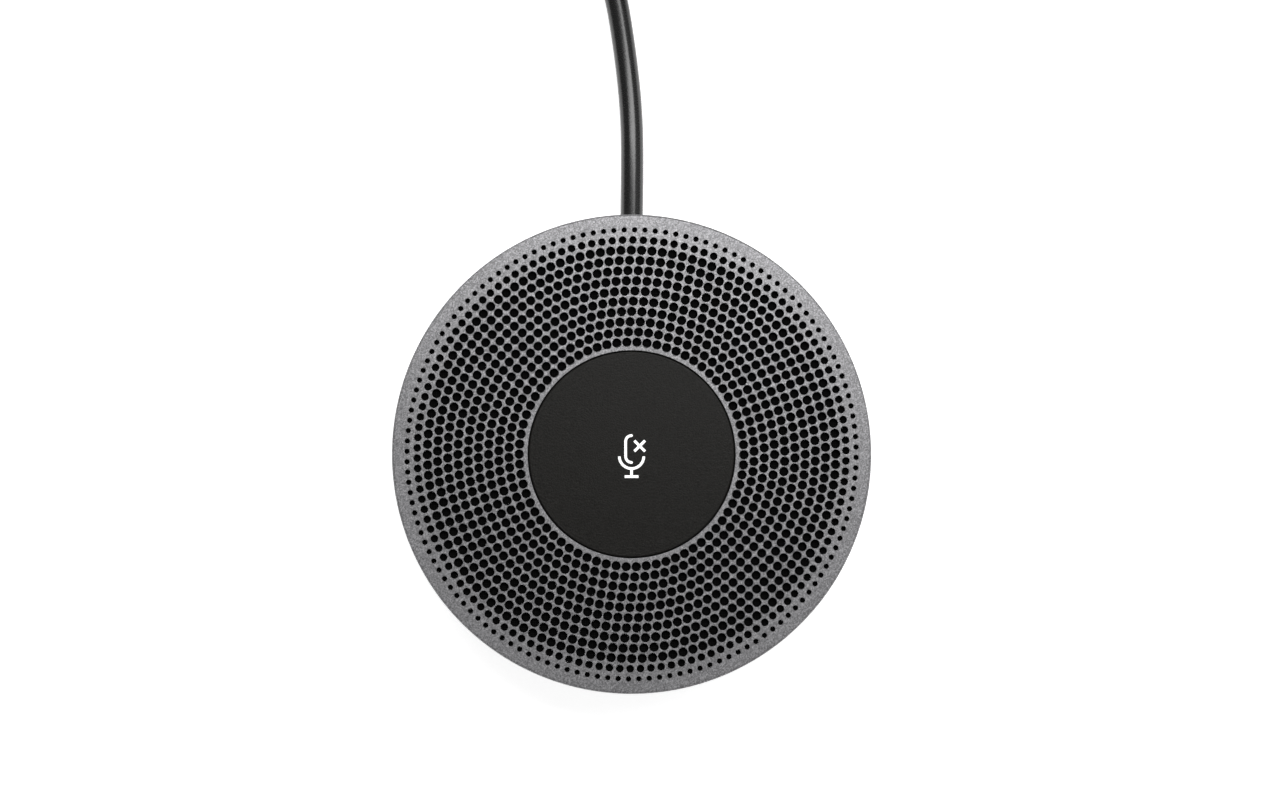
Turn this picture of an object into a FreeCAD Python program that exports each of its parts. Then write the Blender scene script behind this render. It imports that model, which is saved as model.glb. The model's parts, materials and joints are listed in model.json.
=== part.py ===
"""Table-top conference microphone pod: a low round puck under a perforated metal cover,
with one lit mute button in the middle and a captive lead.

Frame, in millimetres: the origin is on the puck's axis at table level, +Z is up,
+Y points the way the lead leaves, and the person speaking sits on the -Y side.
"""
import FreeCAD
import Part
import math
import os

V = FreeCAD.Vector
UP = V(0, 0, 1)
ORIGIN = V(0, 0, 0)

# ---- driving dimensions -------------------------------------------------------------
DIAMETER = 83.0            # across the widest part of the cover
HEIGHT = 21.0              # table to the crown of the dome
DOME_R = 400.0             # radius of the shallow dome
CLEAR = 0.05               # assembly clearance between neighbours

# top cover: one drawn and perforated metal sheet
SHEET = 0.8
RIM_R = DIAMETER / 2
EDGE_R = 0.5               # tight edge between dome and side
SIDE_DRAFT = math.radians(12.9)
COVER_BOTTOM_Z = 8.6
HEM_R = 38.0
BUTTON_HOLE_R = 17.95
HOLE_BEVEL = 0.15          # bevel round the button's hole
PERFORATED_R = 39.6        # the exact spherical part of the sheet ends here
HOLE_RINGS = 12
FIRST_RING_R = 19.40
RING_STEP = 1.7675
FIRST_RING_HOLES = 70
HOLES_ADDED = 6            # each ring has this many holes more than the one inside it
HOLE_START_DEG = 20.4
HOLE_R = 0.762
LAST_HOLES_R = (0.617, 0.41)   # the two outermost rings are punched smaller

# cloth and inner frame
CLOTH = 0.4
CLOTH_IN_R = 18.85
DECK_TOP = SHEET + CLOTH + CLEAR    # depth of the frame's deck below the dome
DECK = 1.55
DECK_R = 39.8
WELL_R = 18.25
WELL_WALL = 1.15
LIP = 0.5                  # thin ring that centres the cloth
LEDGE_Z = (13.6, 14.6)
LEDGE_IN_R = 8.0
SKIRT_Z = 9.5
SKIRT = 1.5
SKIRT_SHOULDER = 0.35      # step between the deck's edge and the skirt
SKIRT_LAP = 1.2            # width of the joint between skirt and deck
SKIRT_LAP_DROP = 0.4

# button
BUTTON_R = 17.78
BUTTON_DROP = 0.05         # crown of the button below the dome
BUTTON_EDGE = 0.25
CAP_UNDER_Z = 19.2
CARRIER_Z = 17.7
CARRIER_R = (7.3, 17.2)
GUIDE_R = 7.0
NUB_R = 1.6                # nub that rests on the switch
TRAVEL = 0.6
LEG_ANGLES = (30, 150, 270)
SPRING_ANGLES = (90, 210, 330)
LEG_R = (14.0, 15.2)
LEG_WIDTH = 4.0
LEG_GAP = 0.3
HOOK_Z = (12.8, 13.55)
HOOK_REACH = 1.0
SPRING_AT_R = 12.0
SPRING_R = 1.8             # coil radius to the middle of the wire
SPRING_WIRE = 0.36
SPRING_TURNS = 4
SPRING_POINTS = 10         # per turn

# mute symbol, about the button's centre
STROKE = 0.46
CAPSULE_R = 1.02
CAPSULE_Y = (2.234, -0.364)
CAPSULE_OPEN_DEG = 90.5    # the capsule's outline stops here, left open to the right
CRADLE_R = 2.1
CRADLE_Y = -0.346
STEM_Y = (-2.3, -3.75)
BAR_Y = -3.83
BAR_HALF = 1.195
CROSS_AT = (1.405, 1.455)
CROSS_HALF = 0.92

# circuit board and what stands on it
BOARD_Z = (10.4, 12.0)
BOARD_R = 30.5
SWITCH_SIDE = 6.0
SWITCH_CORNER = 0.5
SWITCH_TOP_Z = 15.1
PLUNGER_R = 1.7
PLUNGER_TOP_Z = 16.3
PLUNGER_GAP = 0.1
PLUNGER_SUNK = 0.25        # how far the plunger starts below the switch's top
PLUNGER_ROOM = 0.3         # depth left under the pressed plunger
PLUNGER_EDGE = 0.25
LED_AT_R = 6.2
LED_SIZE = (0.8, 1.6, 0.6)
MIC_AT_R = 27.0
MIC_ANGLES = (45, 135, 225, 315)
MIC_SIZE = (3.5, 2.65, 1.0)
MIC_PORT_R = 0.3
MIC_PORT_FLOOR = 0.5
BOOT_R = 3.0
PORT_R = 0.9
PORT_Z = 15.0              # the frame's ports start below here
CAN_AT = (0.0, -9.5)
CAN_SIZE = (18.0, 14.0, 2.2)
CAN_WALL = 0.2
CHIPS = (                  # x, y, width, depth and height, all under the board
    (-4.2, -9.5, 7.0, 7.0, 1.0), (4.2, -9.5, 5.0, 5.0, 0.9), (-15.0, 2.5, 5.0, 5.0, 0.9),
    (15.0, 2.5, 4.0, 4.0, 0.8), (14.0, 20.0, 3.0, 3.0, 1.1), (-14.0, 20.0, 3.0, 3.0, 1.1),
)
CAPACITORS_AT = ((-9.5, -20.0), (9.5, -20.0))
CAPACITOR_R = 2.0
CAPACITOR_HEIGHT = 3.4
SMALL_PARTS_R = 22.0
SMALL_PARTS_DEG = (-5, 5)  # either side of each microphone
SMALL_PART_SIZE = (1.6, 0.8, 0.7)
HEADER = (-7.0, 7.0, 8.5, 14.0, 7.2, BOARD_Z[0])
HEADER_SOCKET = (-6.2, 6.2, 10.5, 14.0, 7.7, 10.1)
HARNESS_PLUG = (-6.1, 6.1, 10.6, 18.0, 7.8, 10.0)

# fixings
PILLAR_AT_R = 24.0
PILLAR_ANGLES = (30, 150, 210, 330)
PILLAR_R = 2.5
PILLAR_FOOT_Z = 5.45
PILLAR_GAP = 0.3
PILLAR_BORE_Z = 15.5
BASE_SCREW_R = 1.1
BASE_HEAD_R = 1.95
BASE_HEAD_Z = (1.7, 3.4)
BASE_SCREW_TIP_Z = 12.4
HEAD_GAP = 0.25
SHANK_GAP = 0.15
BOARD_SCREW_AT = ((27.0, 0.0), (-27.0, 0.0), (0.0, -27.0))
BOARD_SCREW_R = 0.9
BOARD_SCREW_TIP_Z = 15.6
BOARD_SCREW_GAP = 0.2
BOARD_HEAD_R = 1.8
BOARD_HEAD = 1.3
BOARD_POST_R = 2.2
BOARD_POST_BORE_Z = 16.4
RECESS = ((0.3, 1.1), (1.1, 0.3))  # half sizes of the cross recess's two slots
RECESS_SHARE = 0.45        # depth of the recess over the head's height

# base
BASE_Z = (1.0, 2.8)
BASE_R = 35.5
BASE_TOP = (38.6, 8.2)     # radius and height of the wall's top edge
BASE_WALL = 1.85
BASE_EDGE = 0.8            # height of the bevel round the underside
UPSTAND_R = (36.0, 37.0)
UPSTAND_Z = 10.4
UPSTAND_ROOT = 1.2
BOSS_R = 3.2
WALL_SLOT_Y = (30.0, 45.0) # slot for the lead, cut through the wall
BALLAST_R = 30.0
BALLAST = 2.5
BALLAST_NOTCH = (-9.0, 9.0, 17.0, 40.0, 0.0, 10.0)
BALLAST_HOLE_R = 3.7
FOOT_R = (27.5, 34.5)
FOOT_IN_GROOVE = 0.6
FOOT_BEVEL = 0.3
LABEL_R = 17.8
LABEL = 0.2
LABEL_GAP = 0.2

# lead
LEAD_D = 4.0
LEAD_R = LEAD_D / 2
LEAD_Z = 5.0               # height of the lead's axis where it leaves the base
LEAD_INSIDE_Y = 24.0
EXIT_Y = 40.9
GROMMET_Y = (32.7, 34.1, 38.4, 39.0)   # starts of the flange, neck, collar and nose
FLANGE_R = 3.8
FLANGE_TOP_Z = 9.2
NECK_R = 3.0
COLLAR_R = 3.3
NOSE_TIP_R = 2.6
CLAMP_Y = (27.3, 31.7)
CLAMP_HALF = 8.2
CLAMP_TOP_Z = 8.3
CLAMP_HOLE_R = 1.0
CLAMP_BOSS_R = 2.2
CLAMP_SCREW_X = 6.0
CLAMP_SCREW_R = 0.8
CLAMP_SCREW_LENGTH = 6.3
CLAMP_HEAD_R = 1.7
CLAMP_HEAD = 1.2
WIRE_D = 0.9
WIRE_PITCH = 1.5
WIRE_FAN_R = 1.3           # the cores leave the jacket on this radius
WIRE_FAN_DEG = 45
WIRE_BENDS_Y = (22.6, 19.9)
WIRE_LAG = 0.4             # each core bends this much later than the one beside it
WIRE_TOP_Z = 8.9

# The free part of the lead: its first stretch over the table, the put-away coil, the tail.
FRONT_ROUTE = (
    (0.0, 40.9, 5.0), (0.15, 50.5, 4.6), (0.0, 60.0, 3.2), (-1.1, 70.5, 2.2), (-2.95, 82.0, 2.0),
    (-6.6, 92.8, 2.0), (-10.9, 103.2, 2.0), (-14.2, 113.1, 2.0), (-16.3, 122.85, 2.0),
)
TAIL_ROUTE = (
    (24.0, 90.2, 22.0), (9.5, 89.8, 20.9), (-6.0, 90.6, 15.8), (-17.2, 95.0, 10.6),
    (-25.0, 102.6, 6.7), (-29.2, 112.6, 4.6), (-29.8, 122.5, 4.0),
)
COIL_AT = (24.0, 131.4)
COIL_MEAN_R = 33.2
COIL_COLUMNS = 5
COIL_LAYERS = 6
TIE_WIDTH = 12.0
TIE = 1.0
TIE_GAP = 0.4

# USB-A plug on the lead's far end, lying flat and pointing along +Y
PLUG_AT = TAIL_ROUTE[-1]
RELIEF_LENGTH = 10.0
RELIEF_R = (2.5, 3.3)
RELIEF_SUNK = 0.5          # how far the relief runs into the grip
RELIEF_GROOVES = 4
RELIEF_PITCH = 2.0
RELIEF_GROOVE = 0.7
RELIEF_CORE_R = 2.35
GRIP_SIZE = (15.6, 22.0, 8.0)
GRIP_CORNER = 2.2
SHELL_SIZE = (12.0, 4.5)
SHELL_SHOWN = 18.7
SHELL_HELD = 3.0
SHELL_WALL = 0.3
WINDOW_Y = (10.2, 12.6)
WINDOW_WIDTH = 2.2
WINDOW_X = 2.7
TONGUE_ROOT = 1.5
TONGUE_UNDER = 0.1         # underside of the tongue above the plug's axis
TONGUE_SET_BACK = 0.6
CONTACTS_X = (-3.5, -1.0, 1.0, 3.5)
CONTACT_WIDTH = 1.0
CONTACT_HALF = 0.1
CONTACT_SET_BACK = 2.0

# construction
OVER = 5.0                 # how far cutting shapes run past what they cut
BEND_SHARE = 0.45          # share of the shorter neighbouring run that a bend takes
VOLUME_SLACK = 0.01
PARALLEL = 0.99            # cosine above which an edge counts as parallel to an axis
TOLERANCE = 1e-7
CORNER_STEPS = 8


# ---- helpers ------------------------------------------------------------------------
DOME_AT = V(0, 0, HEIGHT - DOME_R)


def dome_z(r, depth=0.0):
    """Height of the dome's surface at radius r, or of a parallel surface depth below it."""
    return DOME_AT.z + math.sqrt((DOME_R - depth) ** 2 - r * r)


def polar(r, degrees, z=0.0):
    a = math.radians(degrees)
    return V(r * math.cos(a), r * math.sin(a), z)


def ball(depth):
    """Everything under the surface that lies depth below the dome."""
    return Part.makeSphere(DOME_R - depth, DOME_AT)


def rod(radius, z0, z1, x=0.0, y=0.0):
    return Part.makeCylinder(radius, z1 - z0, V(x, y, z0))


def pipe(inner, outer, z0, z1, x=0.0, y=0.0):
    return rod(outer, z0, z1, x, y).cut(rod(inner, z0, z1, x, y))


def block(x0, x1, y0, y1, z0, z1):
    return Part.makeBox(x1 - x0, y1 - y0, z1 - z0, V(x0, y0, z0))


def turned(outline):
    """Revolves a closed outline of (r, z) corners about the puck's axis."""
    wire = Part.makePolygon([V(r, 0, z) for r, z in outline + outline[:1]])
    return Part.Face(wire).revolve(ORIGIN, UP, 360)


def domed_sheet(inner, outer, top, thickness):
    """A ring of sheet parallel to the dome, its upper face at depth top."""
    ring = pipe(inner, outer, 0, HEIGHT + OVER)
    return ring.common(ball(top)).cut(ball(top + thickness))


def rounded_block(size, centre, radius):
    """A box with its edges along Y rounded, centred on the given point."""
    w, d, h = size
    x, y, z = centre
    box = block(x - w / 2, x + w / 2, y - d / 2, y + d / 2, z - h / 2, z + h / 2)
    along = [e for e in box.Edges if abs(e.tangentAt(e.FirstParameter).y) > PARALLEL]
    return box.makeFillet(radius, along)


def fuse(first, *others):
    return first.multiFuse(list(others)).removeSplitter()


def solid(shape):
    """The only solid in a shape."""
    if len(shape.Solids) != 1:
        raise ValueError(f"one solid was expected, and {len(shape.Solids)} were made")
    return shape.Solids[0]


def group(shapes):
    """Several separate solids that share one node."""
    return Part.makeCompound([s for shape in shapes for s in shape.Solids])


def round_path(points):
    """Straight runs joined by tangent arcs, with the arcs' radii."""
    corners = [V(*p) for p in points]
    edges = []
    radii = []
    at = corners[0]
    for before, here, after in zip(corners, corners[1:], corners[2:]):
        back = before - here
        on = after - here
        reach = BEND_SHARE * min(back.Length, on.Length)
        half_turn = (math.pi - back.getAngle(on)) / 2
        radius = reach / math.tan(half_turn)
        radii.append(radius)
        back.normalize()
        on.normalize()
        start = here + back * reach
        end = here + on * reach
        inward = back + on
        inward.normalize()
        middle = here + inward * (radius / math.cos(half_turn) - radius)
        edges.append(Part.makeLine(at, start))
        edges.append(Part.Arc(start, middle, end).toShape())
        at = end
    edges.append(Part.makeLine(at, corners[-1]))
    return Part.Wire(edges), radii


def tube(points, radius):
    """A round tube along a path, checked against its section times its length."""
    path, radii = round_path(points)
    start = V(*points[0])
    ring = Part.Wire(Part.makeCircle(radius, start, V(*points[1]) - start))
    made = solid(path.makePipeShell([ring], True, False))
    expected = math.pi * radius ** 2 * path.Length
    if abs(made.Volume - expected) > VOLUME_SLACK * expected:
        raise ValueError("a tube's volume isn't its section times its length")
    return made, radii, path.Length


def screw(x, y, head_z, head_r, shank_r, tip_z):
    """A pan-head screw driven upwards, with a cross recess in its head."""
    low, high = head_z
    body = rod(head_r, low, high, x, y).fuse(rod(shank_r, high, tip_z, x, y))
    depth = RECESS_SHARE * (high - low)
    for w, d in RECESS:
        body = body.cut(block(x - w, x + w, y - d, y + d, low, low + depth))
    return solid(body.removeSplitter())


# ---- cover and cloth ----------------------------------------------------------------
def hole_tool(direction, radius):
    """A plug whose axis starts exactly at the dome's centre, so that its rims are circles."""
    side_surface = Part.Cylinder()
    side_surface.Center = DOME_AT
    side_surface.Axis = direction
    side_surface.Radius = radius
    side = side_surface.toShape(0, 2 * math.pi, DOME_R - 2 * SHEET, DOME_R + SHEET)
    rims = [e for e in side.Edges if e.Curve.TypeId == "Part::GeomCircle"]
    caps = [Part.Face(Part.Wire([rim])) for rim in rims]
    plug = Part.Solid(Part.Shell([side] + caps))
    plug.fix(TOLERANCE, TOLERANCE, TOLERANCE)
    return plug


def sound_holes():
    tools = []
    radii = [HOLE_R] * (HOLE_RINGS - len(LAST_HOLES_R)) + list(LAST_HOLES_R)
    for ring, radius in enumerate(radii):
        count = FIRST_RING_HOLES + HOLES_ADDED * ring
        r = FIRST_RING_R + RING_STEP * ring
        for i in range(count):
            at = polar(r, HOLE_START_DEG + 360 * i / count, math.sqrt(DOME_R ** 2 - r * r))
            at.normalize()
            tools.append(hole_tool(at, radius))
    return tools


def side_r(z):
    """Outer radius of the cover's side at height z."""
    edge_z = dome_z(RIM_R - EDGE_R) - EDGE_R
    low_r = RIM_R - EDGE_R + EDGE_R * math.cos(SIDE_DRAFT)
    low_z = edge_z - EDGE_R * math.sin(SIDE_DRAFT)
    return low_r - (low_z - z) * math.tan(SIDE_DRAFT)


def inner_corner_r():
    """Radius at which the underside of the dome meets the inside of the side."""
    wall = SHEET / math.cos(SIDE_DRAFT)
    r = PERFORATED_R
    for _ in range(CORNER_STEPS):
        r = side_r(dome_z(r, SHEET)) - wall
    return r


def cover_edge():
    """The tight edge, side and crimped hem, turned as one ring."""
    centre_r = RIM_R - EDGE_R
    lean = math.atan2(centre_r, DOME_R - EDGE_R)
    centre = V(centre_r, 0, DOME_AT.z + math.sqrt((DOME_R - EDGE_R) ** 2 - centre_r ** 2))

    def on_edge(angle):
        return centre + V(math.sin(angle), 0, math.cos(angle)) * EDGE_R

    def on_dome(r, depth):
        return V(r, 0, dome_z(r, depth))

    def dome_arc(depth, end):
        start = on_dome(PERFORATED_R, depth)
        return Part.Arc(start, on_dome((start.x + end.x) / 2, depth), end).toShape()

    low = math.pi / 2 + SIDE_DRAFT
    hem_top = COVER_BOTTOM_Z + SHEET
    corner = on_dome(inner_corner_r(), SHEET)
    corners = [
        on_edge(low),
        V(side_r(COVER_BOTTOM_Z), 0, COVER_BOTTOM_Z),
        V(HEM_R, 0, COVER_BOTTOM_Z),
        V(HEM_R, 0, hem_top),
        V(side_r(hem_top) - SHEET / math.cos(SIDE_DRAFT), 0, hem_top),
        corner,
    ]
    outline = [Part.makeLine(a, b) for a, b in zip(corners, corners[1:])]
    outline.append(dome_arc(0.0, on_edge(lean)))
    outline.append(dome_arc(SHEET, corner))
    outline.append(Part.Arc(on_edge(lean), on_edge((lean + low) / 2), on_edge(low)).toShape())
    outline.append(Part.makeLine(on_dome(PERFORATED_R, SHEET), on_dome(PERFORATED_R, 0.0)))
    face = Part.Face(Part.Wire(Part.__sortEdges__(outline)))
    return face.revolve(ORIGIN, UP, 360)


def top_cover():
    low = dome_z(BUTTON_HOLE_R) - HOLE_BEVEL
    sheet = domed_sheet(BUTTON_HOLE_R, PERFORATED_R, 0.0, SHEET)
    bevel = Part.makeCone(BUTTON_HOLE_R, BUTTON_HOLE_R + 2 * HOLE_BEVEL, 2 * HOLE_BEVEL, V(0, 0, low))
    whole = sheet.cut(bevel).fuse(cover_edge())
    return solid(whole.cut(sound_holes()))


def acoustic_cloth():
    return solid(domed_sheet(CLOTH_IN_R, PERFORATED_R, SHEET + CLEAR / 2, CLOTH))


# ---- inner frame --------------------------------------------------------------------
def top_frame():
    deck = domed_sheet(WELL_R, DECK_R, DECK_TOP, DECK)
    wall = SHEET / math.cos(SIDE_DRAFT)
    gap = 2 * CLEAR
    skirt_top = dome_z(DECK_R, DECK_TOP)
    shoulder = skirt_top - SKIRT_SHOULDER
    knee = skirt_top - DECK
    outer_low = side_r(SKIRT_Z) - wall - gap
    outer_high = side_r(shoulder) - wall - 2 * gap
    lap_r = outer_high - SKIRT - SKIRT_LAP
    skirt = turned([
        (DECK_R, skirt_top), (outer_high, shoulder), (outer_low, SKIRT_Z), (outer_low - SKIRT, SKIRT_Z),
        (outer_high - SKIRT, knee), (lap_r, knee), (lap_r, skirt_top - SKIRT_LAP_DROP),
    ])
    under = ball(DECK_TOP + DECK / 2)
    well = pipe(WELL_R, WELL_R + WELL_WALL, LEDGE_Z[0], HEIGHT).common(ball(DECK_TOP))
    lip = pipe(WELL_R, WELL_R + LIP, LEDGE_Z[1], HEIGHT).common(ball(SHEET + CLEAR))
    ledge = pipe(LEDGE_IN_R, WELL_R + WELL_WALL / 2, *LEDGE_Z)
    posts = []
    bores = []
    for degrees in PILLAR_ANGLES:
        at = polar(PILLAR_AT_R, degrees)
        posts.append(rod(PILLAR_R, PILLAR_FOOT_Z, HEIGHT, at.x, at.y).common(under))
        bores.append(rod(BASE_SCREW_R, PILLAR_FOOT_Z, PILLAR_BORE_Z, at.x, at.y))
    for x, y in BOARD_SCREW_AT:
        posts.append(rod(BOARD_POST_R, BOARD_Z[1], HEIGHT, x, y).common(under))
        bores.append(rod(BOARD_SCREW_R, BOARD_Z[1], BOARD_POST_BORE_Z, x, y))
    for degrees in MIC_ANGLES:
        at = polar(MIC_AT_R, degrees)
        bores.append(rod(PORT_R, PORT_Z, HEIGHT, at.x, at.y))
    for degrees in LEG_ANGLES:
        half = LEG_WIDTH / 2 + LEG_GAP
        slot = block(
            LEG_R[0] - LEG_GAP, LEG_R[1] + LEG_GAP, -half, half, LEDGE_Z[0] - LEG_GAP, LEDGE_Z[1] + LEG_GAP,
        )
        slot.rotate(ORIGIN, UP, degrees)
        bores.append(slot)
    return solid(fuse(deck, skirt, well, lip, ledge, *posts).cut(bores))


# ---- button -------------------------------------------------------------------------
def bar(start, end, width, z0, z1):
    """An upright prism along a line on the button's face."""
    run = V(end[0] - start[0], end[1] - start[1], 0)
    prism = block(0, run.Length, -width / 2, width / 2, z0, z1)
    prism.rotate(ORIGIN, UP, math.degrees(math.atan2(run.y, run.x)))
    prism.translate(V(start[0], start[1], 0))
    return prism


def band(centre, radius, from_deg, to_deg, width, z0, z1):
    """An upright prism along an arc on the button's face."""
    x, y = centre
    outer = Part.makeCylinder(radius + width / 2, z1 - z0, ORIGIN, UP, to_deg - from_deg)
    inner = Part.makeCylinder(radius - width / 2, z1 - z0, ORIGIN, UP, 360)
    sector = outer.cut(inner)
    sector.rotate(ORIGIN, UP, from_deg)
    sector.translate(V(x, y, z0))
    return sector


def mute_symbol():
    """A microphone with a small cross beside it."""
    z0 = CAP_UNDER_Z
    z1 = HEIGHT + 1
    high, low = CAPSULE_Y
    cx, cy = CROSS_AT
    h = CROSS_HALF
    end = polar(CAPSULE_R, CAPSULE_OPEN_DEG)
    strokes = [
        band((0, high), CAPSULE_R, CAPSULE_OPEN_DEG, 180, STROKE, z0, z1),
        bar((-CAPSULE_R, high), (-CAPSULE_R, low), STROKE, z0, z1),
        band((0, low), CAPSULE_R, 180, 360 - CAPSULE_OPEN_DEG, STROKE, z0, z1),
        rod(STROKE / 2, z0, z1, end.x, high + end.y),
        rod(STROKE / 2, z0, z1, end.x, low - end.y),
        band((0, CRADLE_Y), CRADLE_R, 180, 360, STROKE, z0, z1),
        bar((0, STEM_Y[0]), (0, STEM_Y[1]), STROKE, z0, z1),
        bar((-BAR_HALF, BAR_Y), (BAR_HALF, BAR_Y), STROKE, z0, z1),
        bar((cx - h, cy - h), (cx + h, cy + h), STROKE, z0, z1),
        bar((cx - h, cy + h), (cx + h, cy - h), STROKE, z0, z1),
    ]
    return fuse(*strokes).common(ball(BUTTON_DROP))


def button_cap():
    blank = rod(BUTTON_R, CAP_UNDER_Z, HEIGHT + 1).common(ball(BUTTON_DROP))
    rim = [e for e in blank.Edges if e.BoundBox.ZMin > CAP_UNDER_Z + BUTTON_EDGE and e.Closed]
    blank = blank.makeFillet(BUTTON_EDGE, rim)
    return solid(blank.cut(mute_symbol()))


def icon_light_guide():
    plate = rod(GUIDE_R, CARRIER_Z, CAP_UNDER_Z)
    nub = rod(NUB_R, PLUNGER_TOP_Z + CLEAR, CARRIER_Z)
    return solid(fuse(plate, nub, mute_symbol()))


def button_carrier():
    ring = pipe(*CARRIER_R, CARRIER_Z, CAP_UNDER_Z)
    parts = []
    for degrees in LEG_ANGLES:
        half = LEG_WIDTH / 2
        leg = block(*LEG_R, -half, half, HOOK_Z[0], (CARRIER_Z + CAP_UNDER_Z) / 2)
        hook = block(LEG_R[0], LEG_R[1] + HOOK_REACH, -half, half, *HOOK_Z)
        for piece in (leg, hook):
            piece.rotate(ORIGIN, UP, degrees)
            parts.append(piece)
    return solid(fuse(ring, *parts))


def return_springs():
    low = LEDGE_Z[1] + SPRING_WIRE / 2
    high = CARRIER_Z - SPRING_WIRE / 2
    steps = SPRING_TURNS * SPRING_POINTS
    helix = []
    for i in range(steps + 1):
        at = polar(SPRING_R, 360 * i / SPRING_POINTS, low + (high - low) * i / steps)
        helix.append((at.x, at.y, at.z))
    coil = tube(helix, SPRING_WIRE / 2)[0]
    springs = []
    for degrees in SPRING_ANGLES:
        one = coil.copy()
        one.translate(polar(SPRING_AT_R, degrees))
        springs.append(one)
    return group(springs)


# ---- electronics --------------------------------------------------------------------
def on_board(x, y, w, d, h, below=False):
    """A component standing on the board's upper face, or hanging from its lower one."""
    z0 = BOARD_Z[0] - h if below else BOARD_Z[1]
    return block(x - w / 2, x + w / 2, y - d / 2, y + d / 2, z0, z0 + h)


def main_board():
    board = rod(BOARD_R, *BOARD_Z)
    holes = []
    for degrees in PILLAR_ANGLES:
        at = polar(PILLAR_AT_R, degrees)
        holes.append(rod(PILLAR_R + PILLAR_GAP, 0, HEIGHT, at.x, at.y))
    for x, y in BOARD_SCREW_AT:
        holes.append(rod(BOARD_SCREW_R + BOARD_SCREW_GAP, 0, HEIGHT, x, y))
    return solid(board.cut(holes))


def switch_body():
    body = on_board(0, 0, SWITCH_SIDE, SWITCH_SIDE, SWITCH_TOP_Z - BOARD_Z[1])
    upright = [e for e in body.Edges if abs(e.tangentAt(e.FirstParameter).z) > PARALLEL]
    body = body.makeFillet(SWITCH_CORNER, upright)
    floor = SWITCH_TOP_Z - PLUNGER_SUNK - TRAVEL - PLUNGER_ROOM
    return solid(body.cut(rod(PLUNGER_R + PLUNGER_GAP, floor, SWITCH_TOP_Z)))


def switch_plunger():
    plunger = rod(PLUNGER_R, SWITCH_TOP_Z - PLUNGER_SUNK, PLUNGER_TOP_Z)
    rim = [e for e in plunger.Edges if e.BoundBox.ZMin > SWITCH_TOP_Z]
    return solid(plunger.makeFillet(PLUNGER_EDGE, rim))


def status_leds():
    leds = []
    for degrees in (0, 90, 180, 270):
        led = on_board(LED_AT_R, 0, *LED_SIZE)
        led.rotate(ORIGIN, UP, degrees)
        leds.append(led)
    return group(leds)


def shield_can():
    w, d, h = CAN_SIZE
    outer = on_board(*CAN_AT, w, d, h, below=True)
    inner = on_board(*CAN_AT, w - 2 * CAN_WALL, d - 2 * CAN_WALL, h - CAN_WALL, below=True)
    return solid(outer.cut(inner))


def board_chips():
    chips = [on_board(*chip, below=True) for chip in CHIPS]
    for x, y in CAPACITORS_AT:
        chips.append(rod(CAPACITOR_R, BOARD_Z[0] - CAPACITOR_HEIGHT, BOARD_Z[0], x, y))
    for degrees in MIC_ANGLES:
        for offset in SMALL_PARTS_DEG:
            at = polar(SMALL_PARTS_R, degrees + offset)
            chips.append(on_board(at.x, at.y, *SMALL_PART_SIZE, below=True))
    return group(chips)


def mic_capsules():
    w, d, h = MIC_SIZE
    mics = []
    for degrees in MIC_ANGLES:
        at = polar(MIC_AT_R, degrees)
        mic = on_board(at.x, at.y, w, d, h)
        mics.append(mic.cut(rod(MIC_PORT_R, BOARD_Z[1] + MIC_PORT_FLOOR, BOARD_Z[1] + h, at.x, at.y)))
    return group(mics)


def mic_boots():
    w, d, h = MIC_SIZE
    boots = []
    for degrees in MIC_ANGLES:
        at = polar(MIC_AT_R, degrees)
        boot = rod(BOOT_R, BOARD_Z[1], HEIGHT, at.x, at.y).common(ball(DECK_TOP + DECK))
        boot = boot.cut(on_board(at.x, at.y, w, d, h))
        boots.append(boot.cut(rod(PORT_R, BOARD_Z[1], HEIGHT, at.x, at.y)))
    return group(boots)


def board_screws():
    head = (BOARD_Z[0] - BOARD_HEAD, BOARD_Z[0])
    screws = []
    for x, y in BOARD_SCREW_AT:
        screws.append(screw(x, y, head, BOARD_HEAD_R, BOARD_SCREW_R, BOARD_SCREW_TIP_Z))
    return group(screws)


def board_header():
    return solid(block(*HEADER).cut(block(*HEADER_SOCKET)))


def harness_plug():
    return solid(block(*HARNESS_PLUG))


def wire(index):
    """One core of the lead, from the end of its jacket up to the plug on the board."""
    across = index - 2
    at = polar(WIRE_FAN_R, 180 - WIRE_FAN_DEG * index)
    x = WIRE_PITCH * across
    z = LEAD_Z + at.y
    first, second = WIRE_BENDS_Y
    lag = WIRE_LAG * abs(across)
    route = (
        (at.x, LEAD_INSIDE_Y, z), (at.x, first - lag, z), (x, second - lag, WIRE_TOP_Z),
        (x, HARNESS_PLUG[3], WIRE_TOP_Z),
    )
    return tube(route, WIRE_D / 2)[0]


# ---- base ---------------------------------------------------------------------------
def ballast_plate():
    plate = rod(BALLAST_R, BASE_Z[1], BASE_Z[1] + BALLAST)
    holes = [block(*BALLAST_NOTCH)]
    for degrees in PILLAR_ANGLES:
        at = polar(PILLAR_AT_R, degrees)
        holes.append(rod(BALLAST_HOLE_R, 0, HEIGHT, at.x, at.y))
    return solid(plate.cut(holes))


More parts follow.
